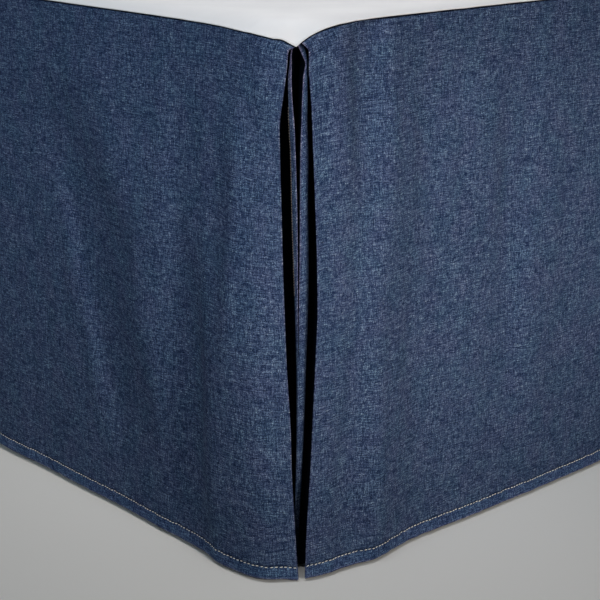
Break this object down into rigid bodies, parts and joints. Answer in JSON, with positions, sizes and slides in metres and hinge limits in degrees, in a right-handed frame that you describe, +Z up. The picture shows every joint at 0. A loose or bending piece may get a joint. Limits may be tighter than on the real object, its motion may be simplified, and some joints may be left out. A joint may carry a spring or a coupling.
{
  "type": "bed skirt on a box spring",
  "caption": "Tailored indigo chambray bed skirt with split corners and pleat inserts under a white deck, hanging to the floor over a plain box spring on tapered legs.",
  "frame": {"origin": "on the floor, under the middle of the bed", "axes": "+Z up, +Y towards the head of the bed, +X towards the right side seen from the foot"},
  "size_m": [1.5307, 2.0368, 0.4585],
  "materials": {
    "skirt_chambray": "indigo chambray, slubby plain weave, matte",
    "deck_cotton": "white cotton, plain weave, matte",
    "box_spring_ticking": "off-white woven ticking, matte",
    "leg_wood": "satin beech"
  },
  "bodies": {
    "root": {"box_spring": "box_spring_ticking", "leg_foot_left": "leg_wood", "leg_foot_right": "leg_wood", "leg_middle_left": "leg_wood", "leg_middle_right": "leg_wood", "leg_head_left": "leg_wood", "leg_head_right": "leg_wood", "deck": "deck_cotton", "foot_drop": "skirt_chambray", "side_drop_left": "skirt_chambray", "side_drop_right": "skirt_chambray", "corner_insert_left": "skirt_chambray", "corner_insert_right": "skirt_chambray"}
  },
  "joints": []
}
